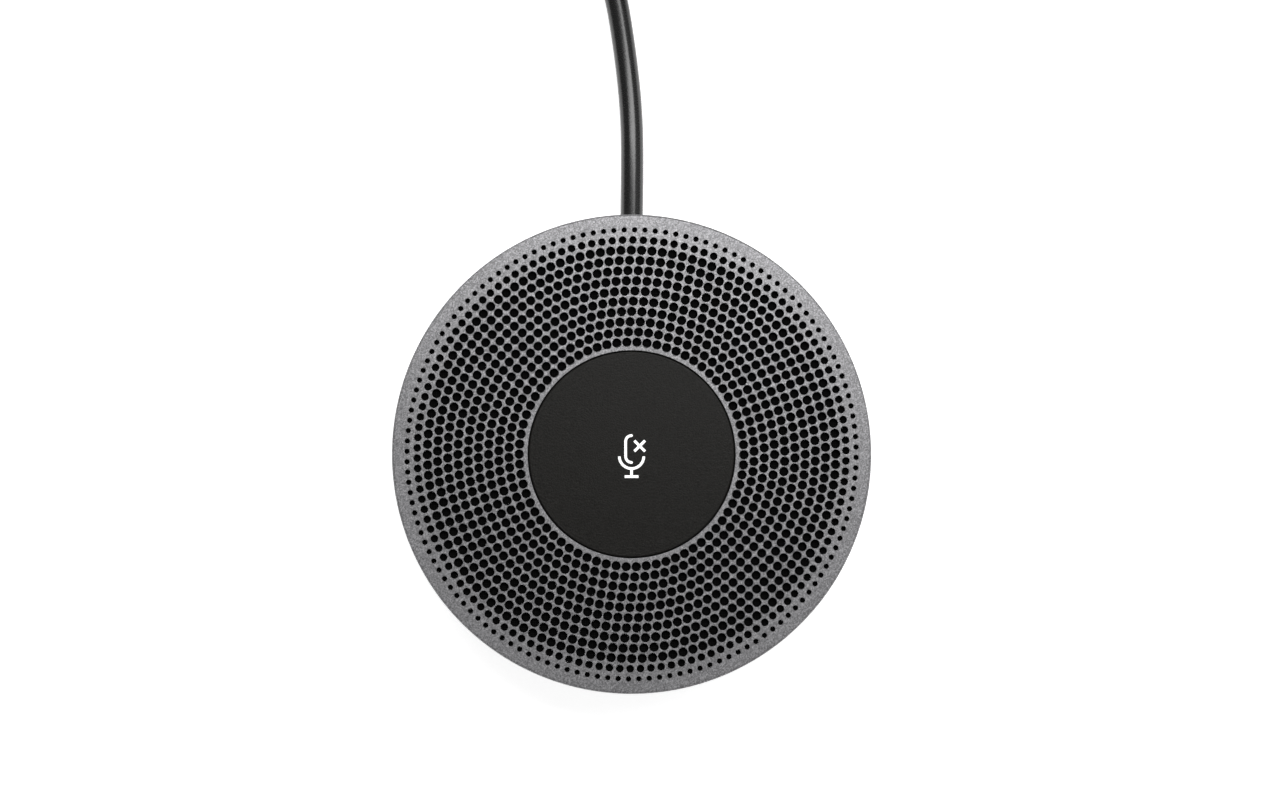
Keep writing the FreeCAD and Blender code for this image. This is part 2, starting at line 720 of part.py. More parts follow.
def base_shell():
    low, floor = BASE_Z
    top_r, top_z = BASE_TOP
    slope = (top_r - BASE_R) / (top_z - low)
    shell = turned([
        (0, low), (BASE_R - BASE_EDGE, low), (BASE_R + slope * BASE_EDGE, low + BASE_EDGE), (top_r, top_z),
        (UPSTAND_R[1], top_z), (UPSTAND_R[1], UPSTAND_Z), (UPSTAND_R[0], UPSTAND_Z),
        (UPSTAND_R[0], top_z - UPSTAND_ROOT), (BASE_R + slope * (floor - low) - BASE_WALL, floor), (0, floor),
    ])
    root = (low + floor) / 2
    y0, y1 = WALL_SLOT_Y
    bosses = []
    cuts = [
        pipe(FOOT_R[0] - CLEAR, FOOT_R[1] + CLEAR, 0, low + FOOT_IN_GROOVE),
        rod(LABEL_R + LABEL_GAP, 0, low + LABEL),
        block(-NECK_R, NECK_R, y0, y1, LEAD_Z, HEIGHT),
        Part.makeCylinder(NECK_R, y1 - y0, V(0, y0, LEAD_Z), V(0, 1, 0)),
    ]
    for degrees in PILLAR_ANGLES:
        at = polar(PILLAR_AT_R, degrees)
        bosses.append(rod(BOSS_R, root, PILLAR_FOOT_Z - CLEAR, at.x, at.y))
        cuts.append(rod(BASE_HEAD_R + HEAD_GAP, 0, BASE_HEAD_Z[1], at.x, at.y))
        cuts.append(rod(BASE_SCREW_R + SHANK_GAP, 0, HEIGHT, at.x, at.y))
    for x in (-CLAMP_SCREW_X, CLAMP_SCREW_X):
        bosses.append(rod(CLAMP_BOSS_R, root, LEAD_Z, x, sum(CLAMP_Y) / 2))
        cuts.append(rod(CLAMP_SCREW_R, floor, LEAD_Z, x, sum(CLAMP_Y) / 2))
    return solid(fuse(shell, *bosses).cut(cuts))


def base_screws():
    screws = []
    for degrees in PILLAR_ANGLES:
        at = polar(PILLAR_AT_R, degrees)
        screws.append(screw(at.x, at.y, BASE_HEAD_Z, BASE_HEAD_R, BASE_SCREW_R, BASE_SCREW_TIP_Z))
    return group(screws)


def foot_ring():
    inner, outer = FOOT_R
    top = BASE_Z[0] + FOOT_IN_GROOVE
    return solid(turned([
        (inner + FOOT_BEVEL, 0), (outer - FOOT_BEVEL, 0), (outer, FOOT_BEVEL), (outer, top), (inner, top),
        (inner, FOOT_BEVEL),
    ]))


def base_label():
    return rod(LABEL_R, BASE_Z[0], BASE_Z[0] + LABEL)


# ---- lead ---------------------------------------------------------------------------
def along_y(radius, y0, y1, end_radius=None):
    """A rod or a taper on the lead's axis inside the base."""
    start = V(0, y0, LEAD_Z)
    if end_radius is None:
        return Part.makeCylinder(radius, y1 - y0, start, V(0, 1, 0))
    return Part.makeCone(radius, end_radius, y1 - y0, start, V(0, 1, 0))


def cable_grommet():
    """Strain relief: flange inside the wall, neck in the wall's slot, short nose outside."""
    flange_y, neck_y, collar_y, nose_y = GROMMET_Y
    slot = block(-NECK_R, NECK_R, neck_y, collar_y, LEAD_Z, BASE_TOP[1])
    neck = along_y(NECK_R, neck_y, collar_y).fuse(slot)
    window = block(-FLANGE_R, FLANGE_R, flange_y, neck_y, BASE_Z[1] + CLEAR, FLANGE_TOP_Z)
    flange = along_y(FLANGE_R, flange_y, neck_y).common(window)
    collar = along_y(COLLAR_R, collar_y, nose_y)
    nose = along_y(NECK_R, nose_y, EXIT_Y, NOSE_TIP_R)
    body = fuse(neck, flange, collar, nose)
    return solid(body.cut(along_y(LEAD_R, flange_y - OVER, EXIT_Y + OVER)))


def cable_clamp():
    y0, y1 = CLAMP_Y
    saddle = block(-CLAMP_HALF, CLAMP_HALF, y0, y1, LEAD_Z + CLEAR, CLAMP_TOP_Z)
    cuts = [along_y(LEAD_R, y0 - OVER, y1 + OVER)]
    for x in (-CLAMP_SCREW_X, CLAMP_SCREW_X):
        cuts.append(rod(CLAMP_HOLE_R, 0, HEIGHT, x, (y0 + y1) / 2))
    return solid(saddle.cut(cuts))


def clamp_screws():
    screws = []
    for x in (-CLAMP_SCREW_X, CLAMP_SCREW_X):
        one = screw(x, 0, (0, CLAMP_HEAD), CLAMP_HEAD_R, CLAMP_SCREW_R, CLAMP_SCREW_LENGTH)
        one.rotate(V(x, 0, 0), V(0, 1, 0), 180)
        one.translate(V(0, sum(CLAMP_Y) / 2, CLAMP_TOP_Z + CLAMP_HEAD))
        screws.append(one)
    return group(screws)


def lead_inner():
    return along_y(LEAD_R, LEAD_INSIDE_Y, EXIT_Y)


def coil_section():
    """Inner and outer radius of the coil's bundle, and its height over the tie."""
    half = COIL_COLUMNS * LEAD_D / 2
    return COIL_MEAN_R - half, COIL_MEAN_R + half, COIL_LAYERS * LEAD_D + TIE


def tie_zone(width):
    x, y = COIL_AT
    return block(x, x + 2 * COIL_MEAN_R, y - width / 2, y + width / 2, -OVER, HEIGHT + 2 * OVER)


def lead_coil():
    inner, outer, height = coil_section()
    ring = pipe(inner, outer, 0, height)
    ring = ring.makeFillet(LEAD_R, [e for e in ring.Edges if e.Curve.TypeId == "Part::GeomCircle"])
    ring.translate(V(*COIL_AT, 0))
    groove = pipe(inner - 1, outer + 1, -1, TIE, *COIL_AT).common(tie_zone(TIE_WIDTH + TIE_GAP))
    return solid(ring.cut(groove))


def coil_tie():
    """A strap round the bundle, under its turns and over them."""
    inner, outer, height = coil_section()
    strap = pipe(inner - TIE, outer + TIE, 0, height + TIE, *COIL_AT)
    strap = strap.cut(pipe(inner, outer, TIE, height, *COIL_AT))
    return solid(strap.common(tie_zone(TIE_WIDTH)))


# ---- plug ---------------------------------------------------------------------------
def plug_box(width, y0, y1, z0, z1, shift=0.0):
    """A block on the plug's axis; y runs from the grip's front face, z from the axis."""
    x, y, z = PLUG_AT
    front = y + RELIEF_LENGTH + GRIP_SIZE[1]
    x += shift
    return block(x - width / 2, x + width / 2, front + y0, front + y1, z + z0, z + z1)


def plug_grip():
    x, y, z = PLUG_AT
    forward = V(0, 1, 0)
    relief = Part.makeCone(*RELIEF_R, RELIEF_LENGTH + RELIEF_SUNK, V(x, y, z), forward)
    grip = rounded_block(GRIP_SIZE, (x, y + RELIEF_LENGTH + GRIP_SIZE[1] / 2, z), GRIP_CORNER)
    for i in range(1, RELIEF_GROOVES + 1):
        at = V(x, y + RELIEF_PITCH * i, z)
        outer = Part.makeCylinder(OVER, RELIEF_GROOVE, at, forward)
        relief = relief.cut(outer.cut(Part.makeCylinder(RELIEF_CORE_R, RELIEF_GROOVE, at, forward)))
    w, h = SHELL_SIZE
    pocket = plug_box(w, -SHELL_HELD, OVER, -h / 2, h / 2)
    return solid(relief.fuse(grip).cut(pocket).removeSplitter())


def plug_shell():
    w, h = SHELL_SIZE
    t = SHELL_WALL
    outer = plug_box(w, -SHELL_HELD, SHELL_SHOWN, -h / 2, h / 2)
    inner = plug_box(w - 2 * t, -SHELL_HELD, SHELL_SHOWN, t - h / 2, h / 2 - t)
    windows = [plug_box(WINDOW_WIDTH, *WINDOW_Y, -h, h, shift) for shift in (-WINDOW_X, WINDOW_X)]
    return solid(outer.cut(inner).cut(windows))


def plug_tongue():
    w, h = SHELL_SIZE
    width = w - 2 * SHELL_WALL
    inside = h / 2 - SHELL_WALL
    core = plug_box(width, -SHELL_HELD, TONGUE_ROOT, -inside, inside)
    tongue = plug_box(width, TONGUE_ROOT, SHELL_SHOWN - TONGUE_SET_BACK, TONGUE_UNDER, inside)
    return solid(core.fuse(tongue).removeSplitter())


def plug_contacts():
    end = SHELL_SHOWN - CONTACT_SET_BACK
    strips = []
    for shift in CONTACTS_X:
        strips.append(plug_box(CONTACT_WIDTH, TONGUE_ROOT, end, -CONTACT_HALF, CONTACT_HALF, shift))
    return group(strips)


# ---- everything ---------------------------------------------------------------------
def main():
    front, front_radii, front_length = tube(FRONT_ROUTE, LEAD_R)
    tail, tail_radii, tail_length = tube(TAIL_ROUTE, LEAD_R)
    nodes = {
        "top_cover": top_cover(),
        "acoustic_cloth": acoustic_cloth(),
        "top_frame": top_frame(),
        "button_cap": button_cap(),
        "icon_light_guide": icon_light_guide(),
        "button_carrier": button_carrier(),
        "return_springs": return_springs(),
        "switch_body": switch_body(),
        "switch_plunger": switch_plunger(),
        "status_leds": status_leds(),
        "main_board": main_board(),
        "board_chips": board_chips(),
        "shield_can": shield_can(),
        "mic_capsules": mic_capsules(),
        "mic_boots": mic_boots(),
        "board_screws": board_screws(),
        "board_header": board_header(),
        "harness_plug": harness_plug(),
        "wire_red": wire(0),
        "wire_white": wire(1),
        "wire_green": wire(2),
        "wire_black": wire(3),
        "wire_shield": wire(4),
        "ballast_plate": ballast_plate(),
        "base_shell": base_shell(),
        "base_screws": base_screws(),
        "foot_ring": foot_ring(),
        "base_label": base_label(),
        "cable_grommet": cable_grommet(),
        "cable_clamp": cable_clamp(),
        "clamp_screws": clamp_screws(),
        "lead_inner": lead_inner(),
        "lead_front": front,
        "lead_coil": lead_coil(),
        "lead_tail": tail,
        "coil_tie": coil_tie(),
        "plug_grip": plug_grip(),
        "plug_shell": plug_shell(),
        "plug_tongue": plug_tongue(),
        "plug_contacts": plug_contacts(),
    }
    os.makedirs("parts", exist_ok=True)
    for name, shape in nodes.items():
        if not shape.isValid():
            raise ValueError(f"{name} isn't a valid shape")
        shape.exportStep(f"parts/{name}.step")
    for name, radii, length in (("front", front_radii, front_length), ("tail", tail_radii, tail_length)):
        print(f"lead {name}: {length:.1f} mm, arc radii", " ".join(f"{r:.0f}" for r in radii))
    print(len(nodes), "nodes")


main()
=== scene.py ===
"""Looks for the table-top conference microphone pod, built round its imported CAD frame."""
import bmesh
import bpy
import json
import math
import numpy as np
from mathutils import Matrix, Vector, geometry


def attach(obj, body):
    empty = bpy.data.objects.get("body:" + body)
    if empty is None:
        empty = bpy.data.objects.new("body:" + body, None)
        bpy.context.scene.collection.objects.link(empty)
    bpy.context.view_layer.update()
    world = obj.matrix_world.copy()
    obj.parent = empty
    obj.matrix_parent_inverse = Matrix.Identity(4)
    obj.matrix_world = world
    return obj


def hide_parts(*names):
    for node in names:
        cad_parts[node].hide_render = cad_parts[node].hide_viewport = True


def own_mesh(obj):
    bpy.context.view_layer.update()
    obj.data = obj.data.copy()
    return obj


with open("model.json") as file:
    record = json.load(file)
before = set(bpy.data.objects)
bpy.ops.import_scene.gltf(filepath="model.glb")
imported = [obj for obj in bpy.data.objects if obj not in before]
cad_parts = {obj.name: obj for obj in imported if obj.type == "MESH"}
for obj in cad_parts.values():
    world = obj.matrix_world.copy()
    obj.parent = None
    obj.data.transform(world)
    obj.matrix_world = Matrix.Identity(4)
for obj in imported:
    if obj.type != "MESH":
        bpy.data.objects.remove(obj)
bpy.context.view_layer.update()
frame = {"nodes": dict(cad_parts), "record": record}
nodes = frame["nodes"]
scene = bpy.context.scene
MM = 0.001
WHITE = (1.0, 1.0, 1.0, 1.0)


# ---- camera -------------------------------------------------------------------------
CAMERA_AT = (0.00068, 0.00939, 0.9)
LENS = 144.26

camera_data = bpy.data.cameras.new("camera")
camera_data.sensor_width = 36.0
camera_data.lens = LENS
camera_data.clip_start = 0.05
camera_data.clip_end = 20.0
camera = bpy.data.objects.new("camera", camera_data)
camera.location = CAMERA_AT
scene.collection.objects.link(camera)
scene.camera = camera


# ---- the lead -----------------------------------------------------------------------
LEAD_D = 0.004
FRONT_ROUTE = (
    (0.0, 0.0409, 0.005), (0.00015, 0.0505, 0.0046), (0.0, 0.06, 0.0032), (-0.0011, 0.0705, 0.0022),
    (-0.00295, 0.082, 0.002), (-0.0066, 0.0928, 0.002), (-0.0109, 0.1032, 0.002),
    (-0.0142, 0.1131, 0.002), (-0.0163, 0.12285, 0.002),
)
TAIL_ROUTE = (
    (0.024, 0.0902, 0.022), (0.0095, 0.0898, 0.0209), (-0.006, 0.0906, 0.0158),
    (-0.0172, 0.095, 0.0106), (-0.025, 0.1026, 0.0067), (-0.0292, 0.1126, 0.0046),
    (-0.0298, 0.1225, 0.004),
)
COIL_AT = (0.024, 0.1314)
COIL_OUTER_R = 0.0412          # middle of the outermost turn
COIL_COLUMNS = 5
LAYER_TURNS = 4.74
COIL_TURNS = 27.783
COIL_START_DEG = 192.0
POINTS_PER_TURN = 16
CONTROL_PULL = 0.981           # a turn's radius over its control points' radius
COLUMN_SHIFT = (0.74, 0.86)    # part of a turn in which the lead moves one column over
LAYER_RISE = (4.62, 4.72)      # turn of a layer in which the lead climbs to the next
TIE_LIFT = 0.001               # the strap under the turns lifts them by this much
TIE_LIFT_DEG = (12.0, 40.0)    # angle from the strap over which the lift fades out
TURN_SLACK = 1e-9              # keeps a layer's first point out of the layer before


def smooth(low, high, x):
    """Rises from 0 at low to 1 at high, level at both ends."""
    t = min(1.0, max(0.0, (x - low) / (high - low)))
    return t * t * (3 - 2 * t)


def coil_point(turn):
    """A control point of the coil, so many turns from its start."""
    layer = int(turn / LAYER_TURNS + TURN_SLACK)
    within = turn - layer * LAYER_TURNS
    column = 0.0
    for c in range(COIL_COLUMNS - 1):
        column += smooth(c + COLUMN_SHIFT[0], c + COLUMN_SHIFT[1], within)
    if layer % 2:
        column = COIL_COLUMNS - 1 - column
    height = LEAD_D * (layer + 0.5 + smooth(*LAYER_RISE, within))
    degrees = COIL_START_DEG - 360 * turn
    away = abs((degrees + 180) % 360 - 180)
    height += TIE_LIFT * (1 - smooth(*TIE_LIFT_DEG, away))
    radius = (COIL_OUTER_R - LEAD_D * column) / CONTROL_PULL
    angle = math.radians(degrees)
    return (
        COIL_AT[0] + radius * math.cos(angle),
        COIL_AT[1] + radius * math.sin(angle),
        height,
    )


lead_points = list(FRONT_ROUTE)
coil_steps = int(COIL_TURNS * POINTS_PER_TURN)
for step in range(1, coil_steps):
    lead_points.append(coil_point(COIL_TURNS * step / coil_steps))
lead_points += TAIL_ROUTE

lead_curve = bpy.data.curves.new("lead", "CURVE")
lead_curve.dimensions = "3D"
lead_curve.bevel_depth = LEAD_D / 2
lead_curve.bevel_resolution = 5
lead_curve.resolution_u = 6
spline = lead_curve.splines.new("NURBS")
spline.points.add(len(lead_points) - 1)
for place, point in zip(spline.points, lead_points):
    place.co = (*point, 1.0)
spline.order_u = 3
spline.use_endpoint_u = True
lead = bpy.data.objects.new("lead", lead_curve)
scene.collection.objects.link(lead)


# ---- node material helpers ----------------------------------------------------------
NOISE_MIDDLE = (0.3, 0.7)      # the part of its range that a noise mostly stays in
WAVE_SCALE = 0.314             # the wave texture's scale for bands one metre apart


class Surface:
    """A node material that starts from one Principled shader and the object's own coordinates."""

    def __init__(self, name, color=(0.8, 0.8, 0.8), roughness=0.5, metallic=0.0, **inputs):
        self.material = bpy.data.materials.new(name)
        self.material.use_nodes = True
        self.tree = self.material.node_tree
        self.tree.nodes.clear()
        self.shader = self.tree.nodes.new("ShaderNodeBsdfPrincipled")
        output = self.tree.nodes.new("ShaderNodeOutputMaterial")
        self.link(self.shader.outputs["BSDF"], output.inputs["Surface"])
        self.where = self.tree.nodes.new("ShaderNodeTexCoord").outputs["Object"]
        self.set("Base Color", (*color, 1.0))
        self.set("Roughness", roughness)
        self.set("Metallic", metallic)
        for key, value in inputs.items():
            self.set(key.replace("_", " "), value)
        self.normal = None

    def set(self, name, value):
        self.shader.inputs[name].default_value = value

    def link(self, source, target):
        self.tree.links.new(source, target)

    def drive(self, name, source):
        self.link(source, self.shader.inputs[name])

    def scaled(self, x, y, z):
        """The coordinates stretched along their axes."""
        node = self.tree.nodes.new("ShaderNodeMapping")
        node.inputs["Scale"].default_value = (x, y, z)
        self.link(self.where, node.inputs["Vector"])
        return node.outputs["Vector"]

    def noise(self, size, detail=2.0, rough=0.5, at=None):
        """Noise whose features are about the given size in metres."""
        node = self.tree.nodes.new("ShaderNodeTexNoise")
        node.inputs["Scale"].default_value = 1 / size
        node.inputs["Detail"].default_value = detail
        node.inputs["Roughness"].default_value = rough
        self.link(at or self.where, node.inputs["Vector"])
        return node.outputs["Fac"]

    def cells(self, size, feature="F1", output="Distance"):
        """Voronoi cells of about the given size in metres."""
        node = self.tree.nodes.new("ShaderNodeTexVoronoi")
        node.feature = feature
        node.inputs["Scale"].default_value = 1 / size
        self.link(self.where, node.inputs["Vector"])
        return node.outputs[output]

    def waves(self, size, direction, distortion=0.0):
        """Bands that repeat at the given size in metres."""
        node = self.tree.nodes.new("ShaderNodeTexWave")
        node.bands_direction = direction
        node.inputs["Scale"].default_value = WAVE_SCALE / size
        node.inputs["Distortion"].default_value = distortion
        self.link(self.where, node.inputs["Vector"])
        return node.outputs["Fac"]

    def ramp(self, source, *stops):
        """Colours or greys along a value."""
        node = self.tree.nodes.new("ShaderNodeValToRGB")
        elements = node.color_ramp.elements
        while len(elements) < len(stops):
            elements.new(0.5)
        for element, (position, value) in zip(elements, stops):
            element.position = position
            rgb = value if isinstance(value, tuple) else (value,) * 3
            element.color = (*rgb, 1.0)
        self.link(source, node.inputs["Fac"])
        return node.outputs["Color"]

    def span(self, source, low, high, from_low=0.0, from_high=1.0):
        """A value moved from one range to another."""
        node = self.tree.nodes.new("ShaderNodeMapRange")
        node.inputs["From Min"].default_value = from_low
        node.inputs["From Max"].default_value = from_high
        node.inputs["To Min"].default_value = low
        node.inputs["To Max"].default_value = high
        self.link(source, node.inputs["Value"])
        return node.outputs["Result"]

    def math(self, operation, first, second):
        """A sum done on two values, each a number or another node's output."""
        node = self.tree.nodes.new("ShaderNodeMath")
        node.operation = operation
        for socket, value in zip(node.inputs, (first, second)):
            if isinstance(value, float):
                socket.default_value = value
            else:
                self.link(value, socket)
        return node.outputs["Value"]

    def mix(self, factor, first, second, blend="MIX"):
        """Two colours mixed, each a colour or another node's output."""
        node = self.tree.nodes.new("ShaderNodeMix")
        node.data_type = "RGBA"
        node.blend_type = blend
        for name, value in (("Factor_Float", factor), ("A_Color", first), ("B_Color", second)):
            socket = next(s for s in node.inputs if s.identifier == name)
            if isinstance(value, float):
                socket.default_value = value
            elif isinstance(value, tuple):
                socket.default_value = (*value, 1.0)
            else:
                self.link(value, socket)
        return next(s for s in node.outputs if s.identifier == "Result_Color")

    def height(self):
        """The height over the object's origin, in metres."""
        node = self.tree.nodes.new("ShaderNodeSeparateXYZ")
        self.link(self.where, node.inputs["Vector"])
        return node.outputs["Z"]

    def bump(self, height, depth):
        """Relief of the given depth in metres, on top of any relief already added."""
        node = self.tree.nodes.new("ShaderNodeBump")
        node.inputs["Strength"].default_value = 1.0
        node.inputs["Distance"].default_value = depth
        self.link(height, node.inputs["Height"])
        if self.normal is not None:
            self.link(self.normal, node.inputs["Normal"])
        self.normal = node.outputs["Normal"]
        self.drive("Normal", self.normal)


# ---- materials with a look of their own ---------------------------------------------
# Sizes and depths are in metres, colours are linear.
def speckled_paint():
    """Grey metallic enamel: fine flakes in a mid grey, some lightened as painted glints, with a faint
    orange peel.
    """
    dark, mid, light = (0.178, 0.176, 0.182), (0.243, 0.241, 0.248), (0.325, 0.322, 0.331)
    dull_flake, plain_flake, bright_flake = 0.7, 1.0, 1.52
    s = Surface("speckled_paint", roughness=0.5, metallic=0.62, Specular_IOR_Level=0.25)
    fine = s.noise(size=0.00026, detail=2.0, rough=0.6)
    flakes = s.cells(size=0.00021, output="Color")
    grey = s.ramp(fine, (0.34, dark), (0.5, mid), (0.66, light))
    # the flakes' cells are darker or lighter at random; the lightest, up to half again as bright, are
    # painted glints
    glint = s.ramp(flakes, (0.1, dull_flake), (0.5, plain_flake), (0.92, bright_flake))
    s.drive("Base Color", s.mix(1.0, grey, glint, "MULTIPLY"))
    s.drive("Roughness", s.span(s.noise(size=0.0004), low=0.46, high=0.54))
    s.bump(s.noise(size=0.0011, detail=1.0), depth=0.000006)
    s.bump(fine, depth=0.000012)
    return s.material


def black_cloth():
    """Plain-woven black acoustic cloth, with painted shade in the gaps between threads and down their
    sides.
    """
    thread = 0.0003
    shaded_gap, side, crown = 0.0008, 0.003, (0.009, 0.009, 0.0095)
    s = Surface("black_cloth", roughness=1.0, Specular_IOR_Level=0.1)
    weave = s.math("MULTIPLY", s.waves(thread, "X"), s.waves(thread, "Y"))
    # painted shade: darkest in the gaps between threads, darker down the threads' sides than on their
    # crowns
    s.drive("Base Color", s.ramp(weave, (0.0, shaded_gap), (0.5, side), (1.0, crown)))
    s.bump(weave, depth=0.00006)
    return s.material


def soft_touch():
    """Black soft-touch lacquer over a fine leather-like grain."""
    low, high = NOISE_MIDDLE
    dark, light = (0.0028, 0.0026, 0.0022), (0.0140, 0.0132, 0.0114)
    crease = 0.18                  # distance from a pebble's edge over which it rises, in pebbles
    s = Surface("soft_touch", roughness=0.44, Specular_IOR_Level=0.17)
    pebbles = s.cells(size=0.00046, feature="DISTANCE_TO_EDGE")
    fine = s.noise(size=0.00018, detail=2.0, rough=0.6)
    s.drive("Base Color", s.ramp(fine, (low, dark), (high, light)))
    s.drive("Roughness", s.span(fine, 0.38, 0.5, low, high))
    s.bump(s.ramp(pebbles, (0.0, 0.0), (crease, 1.0)), depth=0.00002)
    s.bump(fine, depth=0.000012)
    return s.material


def light_guide():
    """Milky plastic, lit where it comes through the button's face."""
    lit_above = 0.01925
    glow = 0.5
    s = Surface("light_guide", color=(0.86, 0.87, 0.88), roughness=0.35,
                Emission_Color=(1.0, 0.99, 0.97, 1.0))
    lit = s.math("GREATER_THAN", s.height(), lit_above)
    milky = s.span(s.noise(size=0.0012), low=0.94, high=1.06)
    s.drive("Emission Strength", s.math("MULTIPLY", s.math("MULTIPLY", lit, milky), glow))
    s.bump(s.noise(size=0.0003), depth=0.000004)
    return s.material


def lead_jacket():
    """Black PVC jacket, smooth, with a faint extrusion grain."""
    dark, light = (0.0034, 0.0034, 0.0036), (0.0064, 0.0063, 0.0062)
    s = Surface("lead_jacket", roughness=0.24, Specular_IOR_Level=0.6)
    fine = s.noise(size=0.00022, detail=3.0, rough=0.6)
    broad = s.noise(size=0.006, detail=2.0)
    s.drive("Base Color", s.mix(broad, dark, light))
    s.drive("Roughness", s.span(fine, 0.2, 0.3, *NOISE_MIDDLE))
    s.bump(fine, depth=0.00001)
    return s.material


def strap_weave():
    """Black hook-and-loop strap: a looped pile with ribs across it."""
    rib_share, pile_share = 0.4, 0.6
    dark, light = 0.006, (0.032, 0.032, 0.034)
    s = Surface("strap_weave", roughness=0.92, Sheen_Weight=0.4, Sheen_Roughness=0.45)
    ribs = s.waves(0.0009, "Y", distortion=0.6)
    pile = s.noise(size=0.00035, detail=4.0, rough=0.7)
    both = s.math("ADD", s.math("MULTIPLY", ribs, rib_share), s.math("MULTIPLY", pile, pile_share))
    s.drive("Base Color", s.ramp(both, (0.25, dark), (0.75, light)))
    s.bump(both, depth=0.0002)
    return s.material


def board_laminate():
    """Green solder mask with copper runs that show through it."""
    run_spacing, run_width = 210, 0.035    # the brick texture's scale, and its joints as the runs
    block, other_block, run = (0.0, 0.0, 0.0, 1.0), (0.1, 0.1, 0.1, 1.0), WHITE
    dark_mask, light_mask = (0.006, 0.062, 0.026), (0.009, 0.085, 0.034)
    masked_copper = (0.03, 0.17, 0.062)
    s = Surface("board_laminate", roughness=0.32, Coat_Weight=0.3, Coat_Roughness=0.15)
    tracks = s.tree.nodes.new("ShaderNodeTexBrick")
    tracks.inputs["Scale"].default_value = run_spacing
    tracks.inputs["Mortar Size"].default_value = run_width
    tracks.inputs["Color1"].default_value = block
    tracks.inputs["Color2"].default_value = other_block
    tracks.inputs["Mortar"].default_value = run
    s.link(s.where, tracks.inputs["Vector"])
    mask = s.mix(s.noise(size=0.004), dark_mask, light_mask)
    s.drive("Base Color", s.mix(tracks.outputs["Color"], mask, masked_copper))
    s.bump(tracks.outputs["Color"], depth=0.00003)
    return s.material


def chip_black():
    """Matt moulded epoxy."""
    dark, light = 0.012, 0.024
    s = Surface("chip_black", roughness=0.62)
    fine = s.noise(size=0.00012, detail=3.0, rough=0.7)
    s.drive("Base Color", s.ramp(fine, *zip(NOISE_MIDDLE, (dark, light))))
    s.bump(fine, depth=0.00001)
    return s.material


def label_film():
    """Blank silver-grey polyester label, brushed along X."""
    dark, light = (0.36, 0.365, 0.37), (0.46, 0.465, 0.47)
    along_brushing = 0.06
    s = Surface("label_film", roughness=0.38, metallic=0.35, Coat_Weight=0.2, Coat_Roughness=0.2)
    fine = s.noise(size=0.0005, detail=4.0, rough=0.6, at=s.scaled(along_brushing, 1, 1))
    s.drive("Base Color", s.mix(fine, dark, light))
    s.bump(fine, depth=0.000004)
    return s.material


def led_lens():
    """Yellowish phosphor under clear resin."""
    phosphor, resin = (0.82, 0.66, 0.12), (0.85, 0.85, 0.8)
    s = Surface("led_lens", roughness=0.2, Coat_Weight=0.5, Coat_Roughness=0.1)
    s.drive("Base Color", s.ramp(s.cells(size=0.0015), (0.2, phosphor), (0.6, resin)))
    return s.material


# ---- moulded and metal materials ----------------------------------------------------
BROAD_GRAINS = 25              # how many grains wide the broad unevenness is
GRAIN_GLOSS = 0.08             # how far the grain moves the roughness up and down
ALONG_STREAK = 0.05            # the scale along a streak, which makes it 20 times as long as wide
STREAK_SCALE = {
    "X": (ALONG_STREAK, 1, 1), "Y": (1, ALONG_STREAK, 1), "Z": (1, 1, ALONG_STREAK), "": (1, 1, 1),
}
STAIN_MIDDLE = (0.35, 0.7)     # the part of the stains' range that goes from clean to dull


def grained(name, color, spread, roughness, grain, depth):
    """A moulded plastic or rubber with a fine etched grain, slightly uneven in colour and gloss."""
    s = Surface(name, roughness=roughness)
    fine = s.noise(grain, detail=3.0, rough=0.6)
    broad = s.noise(grain * BROAD_GRAINS, detail=2.0)
    low = tuple(c * (1 - spread) for c in color)
    high = tuple(c * (1 + spread) for c in color)
    s.drive("Base Color", s.mix(s.span(broad, 0.0, 1.0, *NOISE_MIDDLE), low, high))
    s.drive("Roughness", s.span(fine, roughness - GRAIN_GLOSS, roughness + GRAIN_GLOSS, *NOISE_MIDDLE))
    s.bump(fine, depth)
    return s.material


def metal(name, color, roughness, grain, axis, streak=0.25, depth=0.000004):
    """Drawn, rolled or plain metal with fine streaks along one axis and slight tarnish."""
    smoothest, roughest = 0.7, 1.35
    s = Surface(name, roughness=roughness, metallic=1.0)
    lines = s.noise(grain, detail=4.0, rough=0.65, at=s.scaled(*STREAK_SCALE[axis]))
    stain = s.noise(size=0.003, detail=3.0)
    dull = tuple(c * (1 - streak) for c in color)
    s.drive("Base Color", s.mix(s.span(stain, 0.0, 1.0, *STAIN_MIDDLE), color, dull))
    s.drive("Roughness", s.span(lines, roughness * smoothest, roughness * roughest, *NOISE_MIDDLE))
    s.bump(lines, depth)
    return s.material


